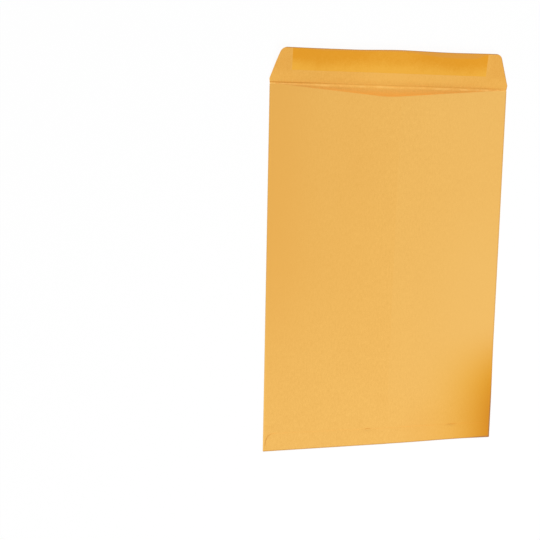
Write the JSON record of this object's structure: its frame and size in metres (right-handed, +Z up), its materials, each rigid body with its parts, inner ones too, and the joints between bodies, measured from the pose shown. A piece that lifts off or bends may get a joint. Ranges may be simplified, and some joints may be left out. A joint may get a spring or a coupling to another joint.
{
  "type": "kraft open-end envelope",
  "caption": "Flat kraft paper mailing bag folded from one sheet, with a glued centre seam, folded-up bottom flap, shallow V throat and an open gummed sealing flap.",
  "frame": {"origin": "centre of the overall box, on the surface that the envelope lies on", "axes": "+Z up, out of the seam side; +Y from the bottom fold towards the sealing flap, the envelope's length; +X across the width, to the right when the seam side is seen with the flap at the top"},
  "size_m": [0.2548, 0.417, 0.009],
  "materials": {
    "kraft_paper": "matt golden kraft, fine mottled fibre, faint sheen",
    "dried_gum": "thin dried gum film, amber, slightly glossy"
  },
  "bodies": {
    "root": {"envelope_sheet": "kraft_paper", "flap_gum": "dried_gum"}
  },
  "joints": []
}
